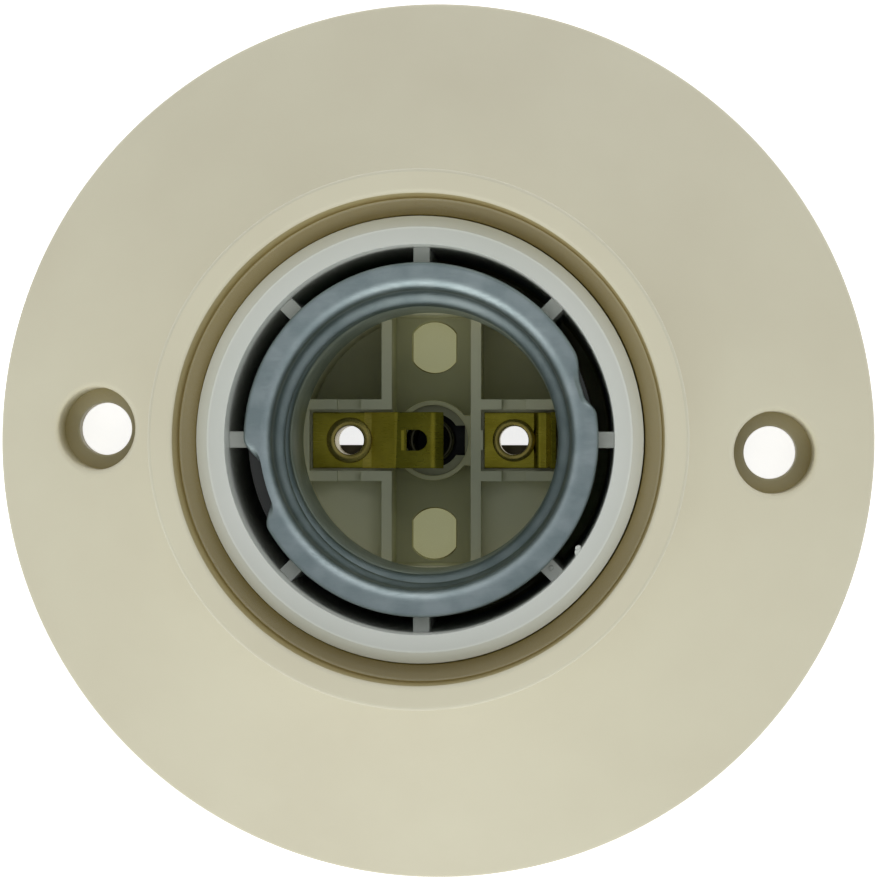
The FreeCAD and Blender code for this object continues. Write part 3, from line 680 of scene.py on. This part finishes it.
def cover_shell():
    """Flange, neck, inner tube and seat as one turned solid."""
    round_steps, cone_bands = 5, 24
    rim_inner = BASE_RADIUS - RIM_WALL
    underside = NECK_FOOT - CONE_WALL
    corners = [
        (BASE_RADIUS, 0.0, 0.15),
        (EDGE_TOP_RADIUS, EDGE_HEIGHT, 0.7),
        (NECK_RADIUS, NECK_FOOT, 0.8),
        (NECK_RADIUS, OVERALL_HEIGHT, 0.35),
        (MOUTH_RADIUS, OVERALL_HEIGHT, 0.45),
        (MOUTH_RADIUS, MOUTH_FLOOR, 0.3),
        (BORE_RADIUS, MOUTH_FLOOR, 0.1),
        (BORE_RADIUS, SEAT_HEIGHT, 0.0),
        (BORE_RADIUS - SEAT_WIDTH, SEAT_HEIGHT, 0.0),
        (BORE_RADIUS - SEAT_WIDTH, SEAT_FOOT, 0.0),
        (TUBE_RADIUS, SEAT_FOOT, 0.2),
        (TUBE_RADIUS, underside + (NECK_RADIUS - TUBE_RADIUS) * CONE_SLOPE, 0.5),
        (rim_inner, underside - (rim_inner - NECK_RADIUS) * CONE_SLOPE, 0.3),
        (rim_inner, 0.0, 0.15),
    ]
    outline = rounded(corners, round_steps)
    cone_foot = 2 * (round_steps + 1) - 1
    return revolve(divided(outline, cone_foot, cone_foot + 1, cone_bands), 288)


def rib(bm, angle):
    """Stiffening rib under the cone, from the inner tube to the rim."""
    start = TUBE_RADIUS - 2.0 * OVERLAP
    end = BASE_RADIUS - RIM_WALL / 2.0
    mid_wall = NECK_FOOT - CONE_WALL / 2.0
    side = [
        (start, SEAT_FOOT),
        (end, RIB_FOOT),
        (end, mid_wall - (end - NECK_RADIUS) * CONE_SLOPE),
        (start, mid_wall - (start - NECK_RADIUS) * CONE_SLOPE),
    ]
    c, s = math.cos(angle), math.sin(angle)
    faces = []
    for half in (-RIB_WIDTH / 2.0, RIB_WIDTH / 2.0):
        faces.append([bm.verts.new((x * c - half * s, x * s + half * c, z)) for x, z in side])
    join_path(bm, faces)


def cover_ribs():
    """All the ribs under the cone."""
    bm = bmesh.new()
    for k in range(COVER_RIBS):
        rib(bm, 2.0 * math.pi * k / COVER_RIBS)
    return bm


def boss(x):
    """Tube round a fixing hole, up into the cone's wall."""
    bm = bmesh.new()
    bottom, top = [], []
    outline = circle(x, 0.0, BOSS_RADIUS, 64)
    for px, py in outline:
        bottom.append(bm.verts.new((px, py, 0.0)))
        top.append(bm.verts.new((px, py, cone_height(px, py) - CONE_WALL / 2.0)))
    peak = bm.verts.new((x, 0.0, cone_height(x, 0.0) - CONE_WALL / 2.0))
    bm.faces.new(bottom)
    for k in range(len(outline)):
        after = (k + 1) % len(outline)
        bm.faces.new((bottom[k], bottom[after], top[after], top[k]))
        bm.faces.new((top[k], top[after], peak))
    return bm


def double_d(x, y, radius, half_width, steps=12):
    """Outline of a round post with two flats that face along X, on the insert."""
    corner = math.acos(half_width / radius)
    points = []
    for start in (corner, math.pi + corner):
        for k in range(steps + 1):
            angle = start + (math.pi - 2.0 * corner) * k / steps
            points.append(turned(x + radius * math.cos(angle), y + radius * math.sin(angle)))
    return points


def recess_cutter(x):
    """Fixing hole and its recess, flared at the top so that the rim is left rounded."""
    flare, flare_steps = math.radians(75.0), 6
    margin, lift = 0.3, 0.06

    def levels(angle):
        c, s = math.cos(angle), math.sin(angle)
        points = [
            (FIXING_RADIUS, -CUT_PAST),
            (FIXING_RADIUS, RECESS_FLOOR - FIXING_CHAMFER),
            (FIXING_RADIUS + FIXING_CHAMFER, RECESS_FLOOR),
            (RECESS_RADIUS, RECESS_FLOOR),
        ]
        for k in range(flare_steps + 1):
            turn = flare * k / flare_steps
            radius = RECESS_RADIUS + RECESS_ROUND * (1.0 - math.cos(turn))
            surface = cone_height(x + radius * c, radius * s)
            points.append((radius, surface - RECESS_ROUND * (1.0 - math.sin(turn))))
        outer = points[-1][0] + margin
        points.append((outer, cone_height(x + outer * c, outer * s) + lift))
        points.append((outer, NECK_FOOT + 2.0 * CUT_PAST))
        return points

    bm = bmesh.new()
    join_rows(bm, turn_profile(bm, 96, levels, (x, 0.0)))
    return bm


def bridge():
    """Bar across the tube that carries the two posts."""
    half, reach = BRIDGE_WIDTH / 2.0, BORE_RADIUS + OVERLAP
    return prism(oblong(-half, half, -reach, reach), SEAT_FOOT, SEAT_HEIGHT)


def post(y):
    """Double-D post that holds the socket body."""
    outline = double_d(0.0, y, POST_RADIUS, POST_WIDTH / 2.0)
    return prism(outline, SEAT_HEIGHT - OVERLAP, POST_TOP)


def make_cover():
    """Ivory moulding with its bosses, ribs, bridge, posts and recesses."""
    cover = new_object("cover_moulding", cover_shell())
    combine(cover, "ribs", cover_ribs(), "UNION")
    for side in (-1.0, 1.0):
        combine(cover, "boss", boss(side * FIXING_OFFSET), "UNION")
    combine(cover, "bridge", bridge(), "UNION")
    for side in (-1.0, 1.0):
        combine(cover, "post", post(side * POST_OFFSET), "UNION")
    for side in (-1.0, 1.0):
        combine(cover, "recess", recess_cutter(side * FIXING_OFFSET), "DIFFERENCE")
    shade(cover)
    weighted = cover.modifiers.new("WeightedNormal", "WEIGHTED_NORMAL")
    weighted.keep_sharp = True
    place(cover, "holder", "ivory_moulding", IVORY, "base_cover")


# Socket body

# Lumps of flash on the skirt's inner edge and on one rib, as (radius, degrees, height, size)
FLASH_LUMPS = ((17.2, -33.3, 46.0, 0.36), (16.95, -32.4, 45.9, 0.27), (16.3, -42.6, 41.6, 0.24))


def make_flash():
    """Burr left by the moulding on the skirt's inner edge, and a lump on the rib beside it."""
    bm = bmesh.new()
    for radius, degrees, z, size in FLASH_LUMPS:
        angle = math.radians(degrees)
        at = Vector((radius * math.cos(angle), radius * math.sin(angle), z))
        lump = bmesh.ops.create_icosphere(bm, subdivisions=2, radius=size)
        for k, vert in enumerate(lump["verts"]):
            unevenness = 0.75 + 0.5 * abs(math.sin(5.3 * k))
            vert.co *= unevenness
            vert.co.z *= 0.6
            vert.co += at
    flash = new_object("moulding_flash", bm)
    shade(flash)
    place(flash, "holder", "white_moulding", WHITE)


# Screw shell

# Staking dents in the flange: where each starts, is full, lets go and ends, in degrees, with its
# depth at the edge and its drop
DENTS = ((10.5, 17.0, 21.0, 32.0, 0.75, 0.3), (181.5, 192.0, 203.0, 212.5, 1.35, 0.6))


def thread_wave(angle, z):
    """Inner radius of the sheet on the helical thread, with its run-outs."""
    phase = 2.0 * math.pi * (z - THREAD_CREST_LEVEL) / THREAD_PITCH - angle
    middle = (THREAD_ROOT + THREAD_CREST) / 2.0
    wave = middle - (THREAD_ROOT - THREAD_CREST) / 2.0 * math.cos(phase)
    foot = smooth_step(z, THREAD_END - THREAD_RUNOUT, THREAD_END)
    wave = THREAD_CREST + (wave - THREAD_CREST) * foot
    top = smooth_step(z, TOP_RUNOUT_START, TOP_RUNOUT_END)
    return wave + (THREAD_ROOT - wave) * top


def dent(angle):
    """How far the flange's edge is pushed in and down at an angle."""
    degrees = math.degrees(angle) % 360.0
    push = drop = 0.0
    for start, full, release, end, depth, fall in DENTS:
        window = smooth_step(degrees, start, full) * (1.0 - smooth_step(degrees, release, end))
        push += depth * window
        drop += fall * window
    return push, drop


def lip_section(bend_z):
    """Outline from the bend round the flange's edge and back, and where the flange starts."""
    bend_steps, flat_steps, edge_steps, under_steps = 8, 6, 6, 5
    edge = SHEET / 2.0
    top = []
    for k in range(1, bend_steps + 1):
        turn = math.pi / 2.0 * k / bend_steps
        radius = THREAD_ROOT + LIP_BEND * (1.0 - math.cos(turn))
        top.append((radius, bend_z + LIP_BEND * math.sin(turn)))
    flat_start = top[-1][0]
    for k in range(1, flat_steps + 1):
        t = k / flat_steps
        radius = flat_start + (FLANGE_RADIUS - edge - flat_start) * t
        top.append((radius, SHELL_TOP - FLANGE_RISE * (1.0 - t)))
    under = [(r, z - SHEET) for r, z in reversed(top[bend_steps:])]
    for k in range(1, edge_steps):
        turn = math.pi * k / edge_steps
        radius = FLANGE_RADIUS - edge + edge * math.sin(turn)
        top.append((radius, SHELL_TOP - edge + edge * math.cos(turn)))
    inside_bend = LIP_BEND - SHEET
    for k in range(under_steps):
        turn = math.pi / 2.0 * (1.0 - k / under_steps)
        radius = THREAD_ROOT + LIP_BEND - inside_bend * math.cos(turn)
        under.append((radius, bend_z + inside_bend * math.sin(turn)))
    return top + under, flat_start


def shell_section(angle):
    """Closed outline of the pressed sheet at one angle."""
    rows = 64
    bend_z = SHELL_TOP - LIP_BEND - FLANGE_RISE
    thread_foot = THREAD_END - THREAD_RUNOUT
    levels = [SHELL_FOOT, (SHELL_FOOT + thread_foot) / 2.0]
    levels += [thread_foot + (bend_z - thread_foot) * k / rows for k in range(rows + 1)]
    inner = [(thread_wave(angle, z), z) for z in levels]
    outer = [(r + SHEET, z) for r, z in inner[:2] + inner[2::2]]
    push, drop = dent(angle)
    lip, flat_start = lip_section(bend_z)
    section = []
    for r, z in lip:
        t = smooth_step(r, flat_start - 0.3, FLANGE_RADIUS)
        section.append((r - push * t, z - drop * t * t))
    return inner + section + outer[::-1]


def make_shell():
    """Zinc-plated screw shell with its helical thread, rolled lip and staked flange."""
    bm = bmesh.new()
    join_rings(bm, turn_profile(bm, 480, shell_section))
    shell = new_object("threaded_shell", bm)
    shade(shell, 60.0)
    place(shell, "holder", "plated_steel", SHELL_STEEL, "screw_shell")


# Contacts

# Centre lines of the two strips, as (x, rise over the plate)
TONGUE_LINE = ((-11.5, 0.0), (-5.7, 0.0), (-3.4, 1.75), (0.25, 2.75), (1.1, 2.3))
TONGUE_BEND = 0.55
RISER_END = SHELL_FOOT - 0.05 - CONTACT_SEAT - CONTACT_SHEET / 2.0
RISER_LINE = ((5.1, 0.0), (10.05, 0.0), (10.35, 0.7), (11.3, 0.7), (11.78, RISER_END))
RISER_BEND = 0.3

# D-shaped hole in the tongue and the tab lanced from it
HOLE_X = -1.35
HOLE_RADIUS = 1.0
TAB_LENGTH = 0.55
TAB_DEPTH = 1.3


def bent_strip(name, line, bend_radius):
    """Sheet strip along a centre line, with rounded bends and edges."""
    bend_steps, edge_steps = 6, 3
    half, half_width = CONTACT_SHEET / 2.0, CONTACT_WIDTH / 2.0
    corners = [(x, CONTACT_SEAT + half + rise, bend_radius) for x, rise in line]
    for end in (0, -1):
        corners[end] = corners[end][:2] + (0.0,)
    path = [Vector(point) for point in rounded(corners, bend_steps)]
    section_corners = (
        (-half_width, -half), (half_width, -half), (half_width, half), (-half_width, half)
    )
    section = rounded([(x, z, CONTACT_EDGE_ROUND) for x, z in section_corners], edge_steps)
    bm = bmesh.new()
    rings = []
    for k, point in enumerate(path):
        before = path[max(k - 1, 0)]
        after = path[min(k + 1, len(path) - 1)]
        along = (after - before).normalized()
        up = Vector((-along.y, along.x))
        ring = []
        for across, rise in section:
            x, y = turned(point.x + up.x * rise, across)
            ring.append(bm.verts.new((x, y, point.y + up.y * rise)))
        rings.append(ring)
    join_path(bm, rings)
    return new_object(name, bm)


def d_hole():
    """Outline of the tongue's hole, with its flat side towards the rivet."""
    flat_x, arc_steps = HOLE_X - HOLE_RADIUS, 16
    points = [(flat_x, HOLE_RADIUS), (flat_x, -HOLE_RADIUS)]
    for k in range(arc_steps + 1):
        angle = math.pi * (k / arc_steps - 0.5)
        points.append((HOLE_X + HOLE_RADIUS * math.cos(angle), HOLE_RADIUS * math.sin(angle)))
    return [turned(x, y) for x, y in points]


def make_centre_contact():
    """Brass strip: riveted plate and tongue with its D-shaped hole."""
    strip = bent_strip("centre_tongue", TONGUE_LINE, TONGUE_BEND)
    drill(strip, circle(*turned(-RIVET_OFFSET, 0.0), RIVET_HOLE))
    drill(strip, d_hole())
    shade(strip)
    place(strip, "holder", "contact_brass", BRASS, "centre_contact")


def make_tab():
    """Small tab bent down from the flat side of the tongue's hole."""
    (foot_x, foot_rise), (tip_x, tip_rise) = TONGUE_LINE[2:4]
    right = HOLE_X - HOLE_RADIUS
    top = CONTACT_TOP + foot_rise + (right - foot_x) * (tip_rise - foot_rise) / (tip_x - foot_x)
    outline = oblong(right - TAB_LENGTH, right, -HOLE_RADIUS, HOLE_RADIUS)
    tab = new_object("lanced_tab", prism(outline, top - TAB_DEPTH, top - 0.05))
    shade(tab)
    place(tab, "holder", "contact_brass", BRASS)


def make_shell_contact():
    """Brass strip: riveted plate, raised in a step and folded up to the screw shell."""
    strip = bent_strip("shell_riser", RISER_LINE, RISER_BEND)
    drill(strip, circle(*turned(RIVET_OFFSET, 0.0), RIVET_HOLE))
    shade(strip)
    place(strip, "holder", "contact_brass", BRASS, "shell_contact")


def make_rivet(name, side, head_radius, node):
    """Hollow rivet with a rolled head on the contact and a rolled rim on the terminal."""
    shank = RIVET_BORE + RIVET_WALL
    corners = [
        (RIVET_BORE, TERMINAL_FACE - RIVET_RISE, 0.2),
        (RIVET_RIM, TERMINAL_FACE - RIVET_RISE, 0.2),
        (RIVET_RIM, TERMINAL_FACE, 0.0),
        (shank, TERMINAL_FACE, 0.0),
        (shank, CONTACT_TOP, 0.0),
        (head_radius, CONTACT_TOP, 0.05),
        (head_radius, CONTACT_TOP + 0.3, 0.15),
        (RIVET_BORE + 0.35, CONTACT_TOP + RIVET_RISE, 0.3),
        (RIVET_BORE, CONTACT_TOP + RIVET_RISE - 0.05, 0.12),
    ]
    centre = turned(side * RIVET_OFFSET, 0.0)
    rivet = new_object(name, revolve(rounded(corners, 4), 72, centre))
    shade(rivet)
    place(rivet, "holder", "rivet_brass", RIVET_BRASS, node)


def make_spring():
    """Steel coil spring between the well's floor and the tongue."""
    steps_per_turn, sides = 32, 10
    low = SPRING_FLOOR + SPRING_WIRE_RADIUS
    bm = bmesh.new()
    rings = []
    for i in range(SPRING_TURNS * steps_per_turn + 1):
        turn = i / steps_per_turn
        share = (turn - SPRING_CLOSED_TURNS / 2.0) / (SPRING_TURNS - SPRING_CLOSED_TURNS)
        z = low + (SPRING_TOP - low) * min(max(share, 0.0), 1.0)
        angle = 2.0 * math.pi * turn
        c, s = math.cos(angle), math.sin(angle)
        section = circle(SPRING_RADIUS, z, SPRING_WIRE_RADIUS, sides)
        rings.append([bm.verts.new((r * c, r * s, height)) for r, height in section])
    join_path(bm, rings)
    spring = new_object("coil_spring", bm)
    shade(spring, 60.0)
    place(spring, "holder", "spring_steel", SPRING_STEEL, "contact_spring")


# Terminal screws


def thread_profile(angle):
    """Screw's thread at one angle, from under its head to its tapered tip."""
    length, rows_per_pitch = SCREW_TIP - HEAD_FACE, 6
    rows = round(length / SCREW_PITCH * rows_per_pitch)
    points = []
    for k in range(1, rows + 1):
        z = HEAD_FACE + length * k / rows
        phase = (z / SCREW_PITCH - angle / (2.0 * math.pi)) % 1.0
        groove = SCREW_THREAD_DEPTH * abs(2.0 * phase - 1.0)
        start = smooth_step(z, HEAD_FACE + 0.2, HEAD_FACE + SCREW_PITCH)
        taper = SCREW_TIP_TAPER * smooth_step(z, SCREW_TIP - SCREW_PITCH, SCREW_TIP)
        points.append((SCREW_RADIUS - groove * start - taper, z))
    return points


def make_screw(name, side, body, node):
    """Terminal screw with a rounded slotted head and a fine helical thread."""
    x, y = side * RIVET_OFFSET, -SCREW_FROM_RIVET
    head_end = HEAD_FACE - HEAD_HEIGHT
    head_corners = [
        (0.0, head_end, 0.0),
        (HEAD_RADIUS, head_end, 0.5),
        (HEAD_RADIUS, HEAD_FACE, 0.15),
        (SCREW_RADIUS, HEAD_FACE, 0.0),
    ]
    head = rounded(head_corners, 4)[1:]
    bm = bmesh.new()
    join_rows(bm, turn_profile(bm, 64, lambda angle: head + thread_profile(angle), turned(x, y)))
    screw = new_object(name, bm)
    reach, half = HEAD_RADIUS + CUT_PAST, SLOT_WIDTH / 2.0
    slot = oblong(x - reach, x + reach, y - half, y + half)
    drill(screw, slot, head_end - CUT_PAST, head_end + SLOT_DEPTH)
    shade(screw)
    place(screw, body, "plated_steel", PLATED, node)


# CAD nodes that are shown as they are

NODE_MATERIALS = {
    "socket_body": WHITE,
    "centre_terminal": BRASS,
    "shell_terminal": BRASS,
    "centre_clamp_washer": DARK_STEEL,
    "shell_clamp_washer": DARK_STEEL,
}


def dress_nodes():
    """Give the CAD nodes that are shown their materials."""
    for name, material in NODE_MATERIALS.items():
        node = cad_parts[name]
        node.data.materials.clear()
        node.data.materials.append(material)


# Stage

FLOOR_HALF_SIZE = 600.0
FLOOR_GAP = 0.05
FLOOR_GREY = 0.85
FLOOR_GLOW = 0.8

# Surroundings: how high, as the sine of the elevation, each colour is reached
HORIZON = (0.2, (0.95, 0.97, 1.0, 1.0))
OVERHEAD = (0.95, (0.32, 0.34, 0.36, 1.0))

# Lamps and camera: the lamps' places and size are in metres, the camera's in millimetres
LAMP_SIZE = 0.7
CAMERA_PLACE = (12.24, -0.26, 350.8)
CAMERA_AIM = (0.24, 0.07, 0.0)
CAMERA_ROLL = math.radians(2.05)
CAMERA_LENS = 141.65
CAMERA_SENSOR = 36.0


def make_floor():
    """White ground just under the part, which glows when it is seen but doesn't light the part."""
    bm = bmesh.new()
    bmesh.ops.create_grid(bm, x_segments=1, y_segments=1, size=FLOOR_HALF_SIZE)
    bmesh.ops.translate(bm, verts=bm.verts, vec=(0.0, 0.0, -FLOOR_GAP))
    floor = new_object("floor", bm)
    shader = Shader("floor_white")
    shader.set(Base_Color=(FLOOR_GREY, FLOOR_GREY, FLOOR_GREY, 1.0), Roughness=0.9)
    shader.set(Specular_IOR_Level=0.0, Emission_Color=(1.0, 1.0, 1.0, 1.0))
    path = shader.node("ShaderNodeLightPath").outputs
    mirrored = shader.joined("MAXIMUM", path["Is Glossy Ray"], path["Is Transmission Ray"])
    seen = shader.joined("MAXIMUM", path["Is Camera Ray"], mirrored)
    shader.feed(shader.scaled("MULTIPLY", seen, FLOOR_GLOW), "Emission Strength")
    floor.data.materials.append(shader.material)


def make_world():
    """Soft surroundings: bright round the horizon and dimmer overhead."""
    world = bpy.data.worlds.new("surroundings")
    bpy.context.scene.world = world
    world.use_nodes = True
    nodes, links = world.node_tree.nodes, world.node_tree.links
    direction = nodes.new("ShaderNodeTexCoord")
    split = nodes.new("ShaderNodeSeparateXYZ")
    ramp = nodes.new("ShaderNodeValToRGB")
    set_ramp(ramp, [HORIZON, OVERHEAD])
    links.new(direction.outputs["Generated"], split.inputs[0])
    links.new(split.outputs["Z"], ramp.inputs["Fac"])
    links.new(ramp.outputs["Color"], nodes["Background"].inputs["Color"])


def add_lamp(name, place_at, power, colour):
    """Square area lamp aimed at the part."""
    data = bpy.data.lights.new(name, "AREA")
    data.size = LAMP_SIZE
    data.energy = power
    data.color = colour
    lamp = bpy.data.objects.new(name, data)
    lamp.location = place_at
    lamp.rotation_euler = (-Vector(place_at)).to_track_quat("-Z", "Y").to_euler()
    bpy.context.scene.collection.objects.link(lamp)


def make_lamps():
    """Two large soft lamps at the near and far side, the near one brighter."""
    add_lamp("near_lamp", (-0.1, -0.55, 0.45), 2.4, (1.0, 0.99, 0.95))
    add_lamp("far_lamp", (0.15, 0.55, 0.45), 1.3, (1.0, 0.97, 0.96))


def make_camera():
    """Camera of the photograph: close over the part, a little to the right, tilted back."""
    data = bpy.data.cameras.new("camera")
    data.sensor_width = CAMERA_SENSOR
    data.lens = CAMERA_LENS
    data.clip_start = 0.01
    camera = bpy.data.objects.new("camera", data)
    location = Vector(CAMERA_PLACE) * MM
    back = (location - Vector(CAMERA_AIM) * MM).normalized()
    right = Vector((math.cos(CAMERA_ROLL), math.sin(CAMERA_ROLL), 0.0))
    right = (right - back * right.dot(back)).normalized()
    matrix = camera.matrix_world.copy()
    for column, axis in enumerate((right, back.cross(right), back, location)):
        for row in range(3):
            matrix[row][column] = axis[row]
    camera.matrix_world = matrix
    bpy.context.scene.collection.objects.link(camera)
    bpy.context.scene.camera = camera


make_cover()
make_flash()
make_shell()
make_centre_contact()
make_tab()
make_shell_contact()
make_rivet("centre_rivet_rolled", -1.0, 2.2, "centre_rivet")
make_rivet("shell_rivet_rolled", 1.0, 2.05, "shell_rivet")
make_spring()
make_screw("centre_screw_threaded", -1.0, "centre_screw", "centre_terminal_screw")
make_screw("shell_screw_threaded", 1.0, "shell_screw", "shell_terminal_screw")
dress_nodes()
make_floor()
make_world()
make_lamps()
make_camera()
bpy.context.scene.view_settings.view_transform = "Standard"
